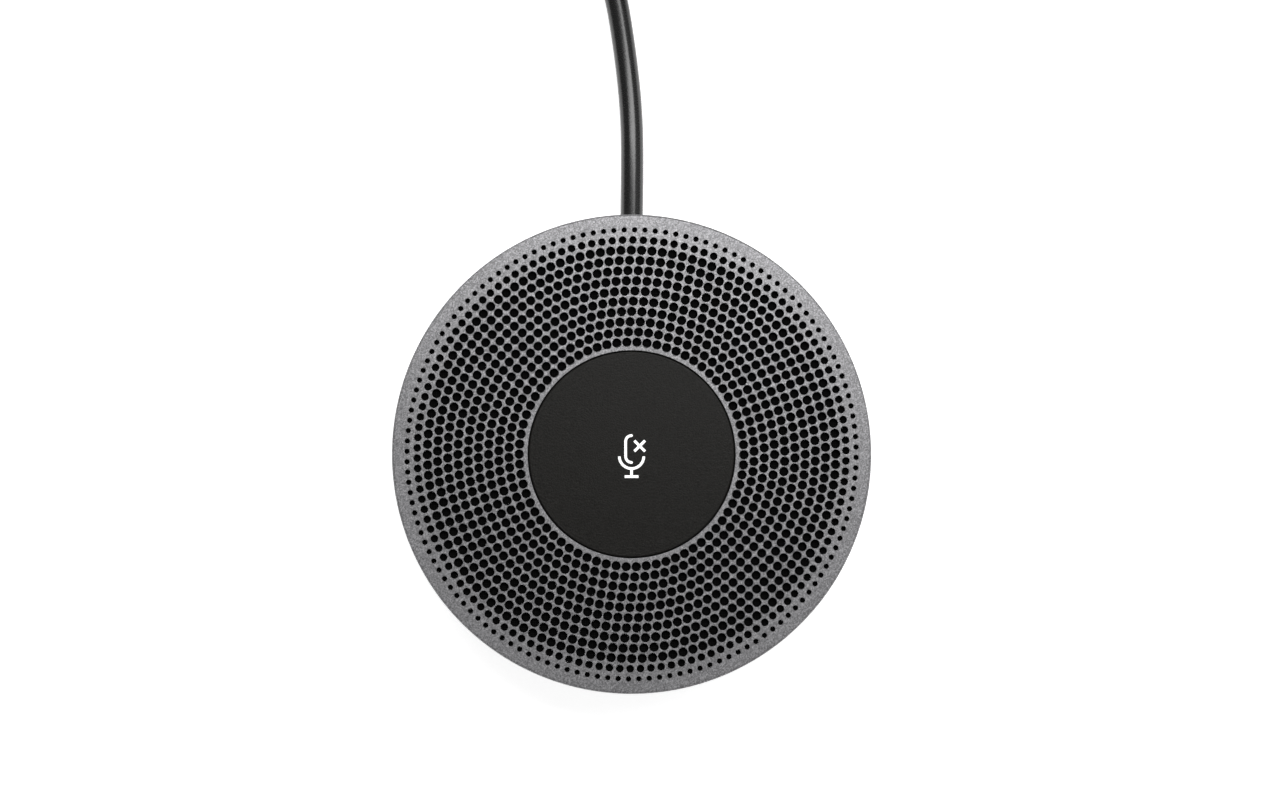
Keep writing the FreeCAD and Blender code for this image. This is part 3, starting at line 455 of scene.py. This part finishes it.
# colour, share by which it varies, roughness, size of the grain, depth of the grain
GRAINED = {
    "frame_plastic": ((0.018, 0.018, 0.019), 0.15, 0.55, 0.0003, 0.00001),
    "carrier_plastic": ((0.025, 0.025, 0.026), 0.12, 0.45, 0.0003, 0.000008),
    "switch_black": ((0.02, 0.02, 0.02), 0.15, 0.5, 0.0002, 0.000008),
    "switch_stem": ((0.62, 0.6, 0.55), 0.05, 0.45, 0.0002, 0.000006),
    "boot_rubber": ((0.016, 0.016, 0.016), 0.2, 0.75, 0.0004, 0.00002),
    "connector_white": ((0.72, 0.7, 0.64), 0.05, 0.42, 0.0004, 0.000008),
    "wire_red": ((0.5, 0.012, 0.01), 0.12, 0.4, 0.0004, 0.00001),
    "wire_white": ((0.72, 0.71, 0.68), 0.06, 0.4, 0.0004, 0.00001),
    "wire_green": ((0.012, 0.2, 0.035), 0.12, 0.4, 0.0004, 0.00001),
    "wire_black": ((0.014, 0.014, 0.014), 0.15, 0.4, 0.0004, 0.00001),
    "base_plastic": ((0.022, 0.022, 0.023), 0.14, 0.5, 0.00045, 0.00003),
    "foot_rubber": ((0.017, 0.017, 0.017), 0.2, 0.8, 0.0006, 0.00004),
    "grommet_rubber": ((0.014, 0.014, 0.014), 0.15, 0.6, 0.0004, 0.00002),
    "plug_overmould": ((0.014, 0.014, 0.0145), 0.15, 0.5, 0.0004, 0.00003),
    "plug_insulator": ((0.03, 0.03, 0.032), 0.1, 0.4, 0.0003, 0.000008),
}
# colour, roughness, size of the grain, axis of the streaks, then how dull the tarnish is and the
# depth of the streaks where they differ from the usual
METALS = {
    "spring_steel": ((0.56, 0.55, 0.53), 0.28, 0.0002, "Z"),
    "tinned_steel": ((0.66, 0.66, 0.64), 0.3, 0.0004, "X"),
    "mic_metal": ((0.7, 0.66, 0.52), 0.33, 0.0002, ""),
    "screw_steel": ((0.5, 0.5, 0.5), 0.34, 0.00025, ""),
    "wire_bare": ((0.72, 0.7, 0.66), 0.32, 0.00012, "Y", 0.25, 0.00003),
    "ballast_steel": ((0.42, 0.42, 0.41), 0.42, 0.0005, "X", 0.35),
    "plug_nickel": ((0.74, 0.71, 0.66), 0.2, 0.0003, "Y"),
    "contact_gold": ((0.9, 0.66, 0.27), 0.22, 0.0002, "Y"),
}
MATERIALS = {
    "speckled_paint": speckled_paint(),
    "black_cloth": black_cloth(),
    "soft_touch": soft_touch(),
    "light_guide": light_guide(),
    "led_lens": led_lens(),
    "board_laminate": board_laminate(),
    "chip_black": chip_black(),
    "label_film": label_film(),
    "lead_jacket": lead_jacket(),
    "strap_weave": strap_weave(),
}
for slot_name, values in GRAINED.items():
    MATERIALS[slot_name] = grained(slot_name, *values)
for slot_name, values in METALS.items():
    MATERIALS[slot_name] = metal(slot_name, *values)

SLOT_OF = {row["node"]: row["material_slot"] for row in frame["record"]["subparts"]}
for node_name, cad_object in nodes.items():
    for material_slot in cad_object.material_slots:
        material_slot.material = MATERIALS[SLOT_OF[node_name]]


# ---- mesh helpers -------------------------------------------------------------------
def new_piece(name, vertices, faces, slot, body="root"):
    """A mesh piece with its slot's material, riding on a body."""
    mesh = bpy.data.meshes.new(name)
    mesh.from_pydata([tuple(v) for v in vertices], [], [tuple(f) for f in faces])
    mesh.materials.append(MATERIALS[slot])
    mesh.polygons.foreach_set("use_smooth", [True] * len(mesh.polygons))
    piece = bpy.data.objects.new(name, mesh)
    scene.collection.objects.link(piece)
    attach(piece, body)
    return piece


def outward(piece):
    """Makes the faces of a closed mesh point outward."""
    work = bmesh.new()
    work.from_mesh(piece.data)
    bmesh.ops.recalc_face_normals(work, faces=work.faces)
    work.to_mesh(piece.data)
    work.free()


def loft(rings, closed_ends=True):
    """Vertices and faces through rings that have the same number of points."""
    count = len(rings[0])
    vertices = [p for ring in rings for p in ring]
    faces = []
    for row in range(len(rings) - 1):
        for i in range(count):
            j = (i + 1) % count
            a = row * count
            faces.append((a + i, a + j, a + count + j, a + count + i))
    if closed_ends:
        faces.append(tuple(range(count))[::-1])
        faces.append(tuple(range((len(rings) - 1) * count, len(rings) * count)))
    return vertices, faces


def append_mesh(vertices, faces, more_vertices, more_faces):
    """Adds one mesh's vertices and faces to another's lists."""
    base = len(vertices)
    vertices += more_vertices
    faces += [tuple(base + i for i in face) for face in more_faces]


def circle(r, sides):
    turns = [2 * math.pi * i / sides for i in range(sides)]
    return [(r * math.cos(turn), r * math.sin(turn)) for turn in turns]


# ---- perforated cover ---------------------------------------------------------------
# From here on the pieces' sizes are in millimetres, as in the CAD, unless a name ends in _M.
HEIGHT = 21.0
DOME_R = 400.0
DOME_Z = HEIGHT - DOME_R
SHEET = 0.8
BUTTON_HOLE_R = 17.95
HOLE_CHAMFER = 0.08
CHAMFER_STEPS = 6
THROAT_ROW = 0.35              # depth of an extra row of points in the button's hole
EDGE_R = 0.5
EDGE_CENTRE_R = 41.0
EDGE_STEPS = 8
SIDE_DRAFT = math.radians(12.9)
SIDE_SHARES = (0.3, 0.6, 0.92)                 # how far down the side its rows of points lie
COVER_BOTTOM_Z = 8.6
FOOT_ROUND = ((0.04, 0.1), (0.2, 0.0))         # inward and up from the side's sharp lower corner
HEM_R = 38.0
CORNER_STEPS = 8               # steps that find the corner inside the edge
HOLE_RINGS = 12
FIRST_RING_R = 19.40
RING_STEP = 1.7675
FIRST_RING_HOLES = 70
HOLES_ADDED = 6
HOLE_START_DEG = 20.4
HOLE_R = (0.762,) * 10 + (0.617, 0.41)
HOLE_SIDES = 18
PUNCH_EDGE = 0.07              # rounding of the punched edge
ROUND_MIDDLE = PUNCH_EDGE * 0.3                # one minus the cosine of 45 degrees
HOLE_WALL = (                  # rows down a hole: wider by, at depth, normal turned inward by
    (ROUND_MIDDLE, ROUND_MIDDLE, 0.7), (0.0, PUNCH_EDGE, 1.0), (0.0, SHEET, 1.0),
)
FLAT_OUTER_R = 39.75
RIM_SIDES = 288
SAME_POINT = 1e-7              # points nearer than this are one point in the triangulation


def dome_z(r, depth=0.0):
    """Height of the dome at a radius, so deep under its outer face."""
    return DOME_Z + math.sqrt((DOME_R - depth) ** 2 - r * r)


def cover_profile():
    """Outline of the sheet from the perforated part's edge, round the rim and back inside."""
    lean = math.atan2(EDGE_CENTRE_R, DOME_R - EDGE_R)
    centre_z = dome_z(EDGE_CENTRE_R, EDGE_R)
    low = math.pi / 2 + SIDE_DRAFT
    middle_r = (FLAT_OUTER_R + EDGE_CENTRE_R) / 2
    outline = [(FLAT_OUTER_R, dome_z(FLAT_OUTER_R)), (middle_r, dome_z(middle_r))]
    for i in range(EDGE_STEPS + 1):
        angle = lean + (low - lean) * i / EDGE_STEPS
        outline.append((EDGE_CENTRE_R + EDGE_R * math.sin(angle), centre_z + EDGE_R * math.cos(angle)))
    r, z = outline[-1]
    slope = math.tan(SIDE_DRAFT)
    foot_r = r - (z - COVER_BOTTOM_Z) * slope
    wall = SHEET / math.cos(SIDE_DRAFT)
    for share in SIDE_SHARES:
        outline.append((r - share * (z - COVER_BOTTOM_Z) * slope, z - share * (z - COVER_BOTTOM_Z)))
    outline += [(foot_r - inward, COVER_BOTTOM_Z + up) for inward, up in FOOT_ROUND]
    outline += [(HEM_R, COVER_BOTTOM_Z), (HEM_R, COVER_BOTTOM_Z + SHEET)]
    outline += [(foot_r + SHEET * slope - wall, COVER_BOTTOM_Z + SHEET)]
    corner_r = foot_r
    for _ in range(CORNER_STEPS):
        corner_r = r - (z - dome_z(corner_r, SHEET)) * slope - wall
    outline += [(corner_r, dome_z(corner_r, SHEET)), (FLAT_OUTER_R, dome_z(FLAT_OUTER_R, SHEET))]
    return outline


def throat_profile():
    """Outline of the button's hole, from the sheet's inner face up and round its edge."""
    outline = [(BUTTON_HOLE_R, dome_z(BUTTON_HOLE_R, SHEET)),
               (BUTTON_HOLE_R, dome_z(BUTTON_HOLE_R) - THROAT_ROW)]
    for i in range(CHAMFER_STEPS):
        angle = math.radians(90 / CHAMFER_STEPS * i)
        reach = HOLE_CHAMFER * (1 - math.cos(angle))
        drop = HOLE_CHAMFER * (1 - math.sin(angle))
        outline.append((BUTTON_HOLE_R + reach, dome_z(BUTTON_HOLE_R) - drop))
    outline.append((BUTTON_HOLE_R + HOLE_CHAMFER, dome_z(BUTTON_HOLE_R + HOLE_CHAMFER)))
    return outline


def hole_places():
    """Each sound hole's x, y and radius."""
    places = []
    for ring in range(HOLE_RINGS):
        count = FIRST_RING_HOLES + HOLES_ADDED * ring
        for i in range(count):
            angle = math.radians(HOLE_START_DEG + 360 * i / count)
            r = FIRST_RING_R + RING_STEP * ring
            places.append((r * math.cos(angle), r * math.sin(angle), HOLE_R[ring]))
    return np.array(places)


def sheet_triangles(flat, holes):
    """Triangles of the flat sheet between the holes' rims, the button's hole and the outer edge."""
    loops = [HOLE_SIDES] * holes + [RIM_SIDES] * 2
    owner = np.repeat(np.arange(len(loops)), loops)
    edges = []
    start = 0
    for size in loops:
        edges += [(start + i, start + (i + 1) % size) for i in range(size)]
        start += size
    found = geometry.delaunay_2d_cdt([Vector(p) for p in flat], edges, [], 0, SAME_POINT)
    source = [o[0] for o in found[3]]
    triangles = np.array([[source[i] for i in face] for face in found[2]])
    own = owner[triangles]
    inside = (own[:, 0] == own[:, 1]) & (own[:, 1] == own[:, 2]) & (own[:, 0] <= holes)
    triangles = triangles[~inside]
    a, b, c = (flat[triangles[:, i]] for i in range(3))
    cross = (b[:, 0] - a[:, 0]) * (c[:, 1] - a[:, 1]) - (b[:, 1] - a[:, 1]) * (c[:, 0] - a[:, 0])
    triangles[cross < 0] = triangles[cross < 0][:, ::-1]
    return triangles


def perforated_cover():
    """The whole drawn sheet with its sound holes, its normals set from the true surfaces."""
    places = hole_places()
    holes = len(places)
    turn = 2 * np.pi * np.arange(HOLE_SIDES) / HOLE_SIDES
    unit = np.stack([np.cos(turn), np.sin(turn)], 1)

    def hole_rims(extra):
        flat = places[:, None, :2] + (places[:, 2] + extra)[:, None, None] * unit[None]
        return flat.reshape(-1, 2)

    outer_loop = np.array(circle(FLAT_OUTER_R, RIM_SIDES))

    def sheet_face(extra, inner_r):
        return np.vstack([hole_rims(extra), np.array(circle(inner_r, RIM_SIDES)), outer_loop])

    flat = sheet_face(PUNCH_EDGE, BUTTON_HOLE_R + HOLE_CHAMFER)
    triangles = sheet_triangles(flat, holes)
    vertices, normals, faces = [], [], []

    def on_dome(points, depth):
        z = DOME_Z + np.sqrt((DOME_R - depth) ** 2 - (points ** 2).sum(1))
        return np.column_stack([points, z])

    def dome_normals(points):
        lift = np.column_stack([points[:, :2], points[:, 2] - DOME_Z])
        return lift / np.linalg.norm(lift, axis=1)[:, None]

    def add(points, directions):
        base = sum(len(v) for v in vertices)
        vertices.append(points)
        normals.append(directions)
        return base

    top = on_dome(flat, 0.0)
    top_base = add(top, dome_normals(top))
    faces += (triangles + top_base).tolist()
    under = on_dome(sheet_face(0.0, BUTTON_HOLE_R), SHEET)
    under_base = add(under, -dome_normals(under))
    faces += (triangles[:, ::-1] + under_base).tolist()

    into_hole = -np.tile(unit, (holes, 1))
    sideways = np.column_stack([into_hole, np.zeros(len(into_hole))])
    bands = [top_base]
    for extra, depth, turned in HOLE_WALL:
        ring = on_dome(hole_rims(extra), depth)
        direction = dome_normals(ring) * (1 - turned) + sideways * turned
        bands.append(add(ring, direction / np.linalg.norm(direction, axis=1)[:, None]))
    for upper, lower in zip(bands, bands[1:]):
        for hole in range(holes):
            k = hole * HOLE_SIDES
            for i in range(HOLE_SIDES):
                j = (i + 1) % HOLE_SIDES
                faces.append((upper + k + i, lower + k + i, lower + k + j, upper + k + j))

    def lathe(outline):
        """Turns an outline given in order, its faces to the left of its direction of travel."""
        points = np.array(outline)
        along = np.gradient(points, axis=0)
        for i in range(len(points)):
            r, z = points[i]
            dr, dz = along[i]
            length = math.hypot(dr, dz)
            loop = np.array(circle(r, RIM_SIDES))
            side = loop / r
            direction = np.column_stack([side * (-dz / length), np.full(RIM_SIDES, dr / length)])
            base = add(np.column_stack([loop, np.full(RIM_SIDES, z)]), direction)
            if i:
                last = base - RIM_SIDES
                for k in range(RIM_SIDES):
                    m = (k + 1) % RIM_SIDES
                    faces.append((last + k, base + k, base + m, last + m))

    lathe(cover_profile())
    lathe(throat_profile())
    points = np.vstack(vertices) * MM
    piece = new_piece("perforated_cover", points, faces, "speckled_paint")
    directions = np.vstack(normals)
    piece.data.normals_split_custom_set_from_vertices([tuple(n) for n in directions])
    return piece


cover = perforated_cover()
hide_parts("top_cover")


# ---- acoustic cloth -----------------------------------------------------------------
CLOTH_INNER_R = 18.85
CLOTH_OUTER_R = 39.6
CLOTH_DEPTH = (0.86, 1.16)     # upper and lower face under the dome's outer face
CLOTH_SIDES = 240
CLOTH_ROWS = 60
RIPPLE = 0.03
RIPPLES_ROUND = 31
RIPPLE_PER_MM = 2.1            # radians
RIPPLE_SWAY = 3                # radians
SWAYS_ROUND = 5


def cloth_point(r, angle, depth):
    """A point of the cloth, which ripples a little between the holes."""
    sway = RIPPLE_SWAY * math.sin(angle * SWAYS_ROUND)
    ripple = RIPPLE * math.sin(r * RIPPLE_PER_MM + sway) * math.cos(angle * RIPPLES_ROUND + r)
    z = dome_z(r, depth + RIPPLE + ripple)
    return r * math.cos(angle) * MM, r * math.sin(angle) * MM, z * MM


def cloth_sheet():
    """A ring of cloth that lies on the frame's deck."""
    rings = []
    for depth, rows in zip(CLOTH_DEPTH, (range(CLOTH_ROWS + 1), range(CLOTH_ROWS, -1, -1))):
        for row in rows:
            r = CLOTH_INNER_R + (CLOTH_OUTER_R - CLOTH_INNER_R) * row / CLOTH_ROWS
            turns = [2 * math.pi * i / CLOTH_SIDES for i in range(CLOTH_SIDES)]
            rings.append([cloth_point(r, turn, depth) for turn in turns])
    vertices, faces = loft(rings, closed_ends=False)
    last = (len(rings) - 1) * CLOTH_SIDES
    for i in range(CLOTH_SIDES):
        j = (i + 1) % CLOTH_SIDES
        faces.append((last + i, last + j, j, i))
    return new_piece("cloth_sheet", vertices, faces, "black_cloth")


cloth = cloth_sheet()
outward(cloth)
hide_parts("acoustic_cloth")


# ---- return springs -----------------------------------------------------------------
SPRING_AT_R = 12.0
SPRING_ANGLES = (90, 210, 330)
SPRING_R = 1.8
SPRING_WIRE = 0.36
SPRING_Z = (14.6, 17.7)
SPRING_TURNS = 5.5
SPRING_STEPS = 200
SPRING_RISE = (0.08, 0.92)     # share of the wire in which it climbs, between its flat ends
WIRE_SIDES = 10


def coil_springs():
    """Three compression springs with closed, flattened end turns."""
    low = SPRING_Z[0] + SPRING_WIRE / 2
    high = SPRING_Z[1] - SPRING_WIRE / 2
    up = Vector((0, 0, 1))
    vertices, faces = [], []
    for degrees in SPRING_ANGLES:
        cx = SPRING_AT_R * math.cos(math.radians(degrees))
        cy = SPRING_AT_R * math.sin(math.radians(degrees))
        rings = []
        for i in range(SPRING_STEPS + 1):
            t = i / SPRING_STEPS
            angle = 2 * math.pi * SPRING_TURNS * t
            rise = low + (high - low) * smooth(*SPRING_RISE, t)
            out = Vector((math.cos(angle), math.sin(angle), 0))
            centre = Vector((cx, cy, rise)) + out * SPRING_R
            ring = []
            for k in range(WIRE_SIDES):
                a = 2 * math.pi * k / WIRE_SIDES
                around = out * math.cos(a) + up * math.sin(a)
                ring.append((centre + around * SPRING_WIRE / 2) * MM)
            rings.append(ring)
        append_mesh(vertices, faces, *loft(rings))
    return new_piece("coil_springs", vertices, faces, "spring_steel")


springs = coil_springs()
outward(springs)
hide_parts("return_springs")
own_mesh(springs)


# ---- strap round the coil -----------------------------------------------------------
STRAP_WIDTH = 12.0
STRAP_THICK = 0.5
STRAP_CORNER = 2.0
STRAP_STEP = 0.8               # distance between the strap's rows of points
CORNER_POINTS = 8
BUNDLE_R = (23.2, 43.2)
BUNDLE_Z = (1.0, 25.0)
FREE_END_R = 3.0               # rounding of the free end's corners
STRAP_LAPS = ((0.0, 1.0), (0.93, 1.47))        # where each layer starts and ends, in rounds
STRAP_SECTION = (              # half widths across, thicknesses through
    (-1, 0.5), (-0.985, 0.14), (-0.94, 0.0), (-0.5, 0.0), (0, 0.0), (0.5, 0.0), (0.94, 0.0), (0.985, 0.14),
    (1, 0.5), (0.985, 0.86), (0.94, 1.0), (0.5, 1.0), (0, 1.0), (-0.5, 1.0), (-0.94, 1.0), (-0.985, 0.86),
)


def strap_outline(start, end, offset):
    """Points and outward directions along the bundle's rounded outline, from one share to another."""
    (r0, r1), (z0, z1) = BUNDLE_R, BUNDLE_Z
    c = STRAP_CORNER
    corners = (
        (r1 - c, z0 + c, -90), (r1 - c, z1 - c, 0), (r0 + c, z1 - c, 90), (r0 + c, z0 + c, 180),
    )
    line = []
    for r, z, first in corners:
        for i in range(CORNER_POINTS + 1):
            a = math.radians(first + 90 * i / CORNER_POINTS)
            line.append((r + c * math.cos(a), z + c * math.sin(a), math.cos(a), math.sin(a)))
    line.append(line[0])
    fine = []
    for (r, z, u, v), (r2, z2, u2, v2) in zip(line, line[1:]):
        steps = max(1, int(math.hypot(r2 - r, z2 - z) / STRAP_STEP))
        for i in range(steps):
            t = i / steps
            fine.append((r + (r2 - r) * t, z + (z2 - z) * t, u + (u2 - u) * t, v + (v2 - v) * t))
    count = len(fine)
    chosen = [fine[i % count] for i in range(int(start * count), int(end * count) + 1)]
    return [(r + u * offset, z + v * offset, u, v) for r, z, u, v in chosen]


def strap_layer(start, end, offset, rounded):
    """One layer of the strap, with rounded long edges and, at its free end, rounded corners."""
    rings = []
    outline = strap_outline(start, end, offset)
    for i, (r, z, u, v) in enumerate(outline):
        left = (len(outline) - 1 - i) * STRAP_STEP
        half = STRAP_WIDTH / 2
        if rounded and left < FREE_END_R:
            half -= FREE_END_R - math.sqrt(max(0.0, FREE_END_R ** 2 - (FREE_END_R - left) ** 2))
        ring = []
        for across, through in STRAP_SECTION:
            rr = r + u * through * STRAP_THICK
            zz = z + v * through * STRAP_THICK
            y = across * half
            x = math.sqrt(rr * rr - y * y)
            ring.append(((COIL_AT[0] / MM + x) * MM, (COIL_AT[1] / MM + y) * MM, zz * MM))
        rings.append(ring)
    return loft(rings)


def coil_strap():
    """The strap once round the bundle, and its free end lapped over that."""
    vertices, faces = [], []
    for lap, (start, end) in enumerate(STRAP_LAPS):
        append_mesh(vertices, faces, *strap_layer(start, end, STRAP_THICK * lap, rounded=lap > 0))
    return new_piece("coil_strap", vertices, faces, "strap_weave")


strap = coil_strap()
outward(strap)
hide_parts("coil_tie")


# ---- plug's grip --------------------------------------------------------------------
PLUG_AT = (-29.8, 122.5, 4.0)
GRIP_SIDES = 56
# Rows of y along the grip, half width, half height and power. A ring is round at power 2 and
# nearly a rectangle at a high power.
LEAD_END = ((0.0, 2.02, 2.02, 2), (0.02, 2.35, 2.35, 2), (0.2, 2.5, 2.5, 2))
SHOULDER = (
    (9.5, 3.28, 3.28, 2), (9.9, 3.6, 3.3, 2.4), (10.05, 5.6, 3.35, 3.6), (10.2, 6.7, 3.5, 4.4),
    (10.7, 7.4, 3.8, 4.8), (11.5, 7.72, 3.96, 5), (12.5, 7.8, 4.0, 5),
)
SHELL_END = (
    (30.6, 7.8, 4.0, 5), (31.4, 7.68, 3.9, 5), (31.85, 7.35, 3.6, 5), (32.0, 6.9, 3.2, 5),
    (32.0, 6.05, 2.3, 14), (31.6, 6.02, 2.27, 14), (29.1, 6.02, 2.27, 14),
)
RIBS = 4                       # of the strain relief
RIB_START = 2.0
RIB_PITCH = 2.0
RIB_R = 2.5                    # at y 0
RIB_TAPER = 0.08               # by which the radius grows along y
RIB_VALLEY_R = 2.4
RIB_PEAK_RISE = 0.06
RIB_ROWS = (-0.12, 0.05, 0.65, 0.82)
GROOVES = 5                    # for the fingers
GROOVE_START = 15.0
GROOVE_PITCH = 2.6
GROOVE_ROWS = ((0.0, 0.0), (0.35, 0.42), (0.95, 0.42), (1.3, 0.0))             # along, deep
GRIP_BODY = (7.8, 4.0, 5)      # half width, half height and power between the ends


def grip_ring(y, half_width, half_height, power):
    """A ring of points round the grip."""
    ring = []
    for i in range(GRIP_SIDES):
        a = 2 * math.pi * i / GRIP_SIDES
        c, s = math.cos(a), math.sin(a)
        x = half_width * math.copysign(abs(c) ** (2 / power), c)
        z = half_height * math.copysign(abs(s) ** (2 / power), s)
        ring.append(((PLUG_AT[0] + x) * MM, (PLUG_AT[1] + y) * MM, (PLUG_AT[2] + z) * MM))
    return ring


def moulded_grip():
    """Ribbed strain relief running into a rounded grip with finger grooves and a pocket."""
    rows = list(LEAD_END)
    for k in range(RIBS):
        y = RIB_START + RIB_PITCH * k
        full = RIB_R + RIB_TAPER * y
        radii = (full, RIB_VALLEY_R, RIB_VALLEY_R, full + RIB_PEAK_RISE)
        rows += [(y + dy, r, r, 2) for dy, r in zip(RIB_ROWS, radii)]
    rows += SHOULDER
    half_width, half_height, power = GRIP_BODY
    for k in range(GROOVES):
        y = GROOVE_START + GROOVE_PITCH * k
        rows += [(y + dy, half_width - deep, half_height, power) for dy, deep in GROOVE_ROWS]
    rows += SHELL_END
    vertices, faces = loft([grip_ring(*row) for row in rows])
    return new_piece("moulded_grip", vertices, faces, "plug_overmould")


grip = moulded_grip()
outward(grip)
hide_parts("plug_grip")

lead_curve.materials.append(MATERIALS["lead_jacket"])
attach(lead, "root")
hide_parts("lead_front", "lead_coil", "lead_tail")


# ---- floor, light and colour management ---------------------------------------------
FLOOR_HALF_M = 4.0
FLOOR_Z_M = -0.00005           # just under the feet, so that they don't share a plane
WORLD_STRENGTH = 0.23


def floor():
    """A pale plane that glows a little, so that it stays white round the object."""
    s = Surface("floor", color=(0.9, 0.9, 0.9), roughness=0.8, Specular_IOR_Level=0.2,
                Emission_Color=WHITE, Emission_Strength=0.78)
    mesh = bpy.data.meshes.new("floor")
    h = FLOOR_HALF_M
    mesh.from_pydata([(-h, -h, 0), (h, -h, 0), (h, h, 0), (-h, h, 0)], [], [(0, 1, 2, 3)])
    mesh.materials.append(s.material)
    plane = bpy.data.objects.new("floor", mesh)
    plane.location.z = FLOOR_Z_M
    scene.collection.objects.link(plane)


def area_light(name, at, size, power):
    """A rectangular light that points at the origin."""
    data = bpy.data.lights.new(name, "AREA")
    data.shape = "RECTANGLE"
    data.size, data.size_y = size
    data.energy = power
    light = bpy.data.objects.new(name, data)
    light.location = at
    light.rotation_euler = (Vector((0, 0, 0)) - Vector(at)).to_track_quat("-Z", "Y").to_euler()
    scene.collection.objects.link(light)


floor()
area_light("key", at=(0.16, 0.6, 1.2), size=(1.3, 0.6), power=17.0)
area_light("side", at=(1.2, 0.0, 0.8), size=(1.0, 1.0), power=1.0)

world = bpy.data.worlds.new("studio")
world.use_nodes = True
world.node_tree.nodes["Background"].inputs["Color"].default_value = WHITE
world.node_tree.nodes["Background"].inputs["Strength"].default_value = WORLD_STRENGTH
scene.world = world
scene.view_settings.view_transform = "Standard"
scene.view_settings.look = "None"
scene.view_settings.exposure = 0.0
scene.view_settings.gamma = 1.0
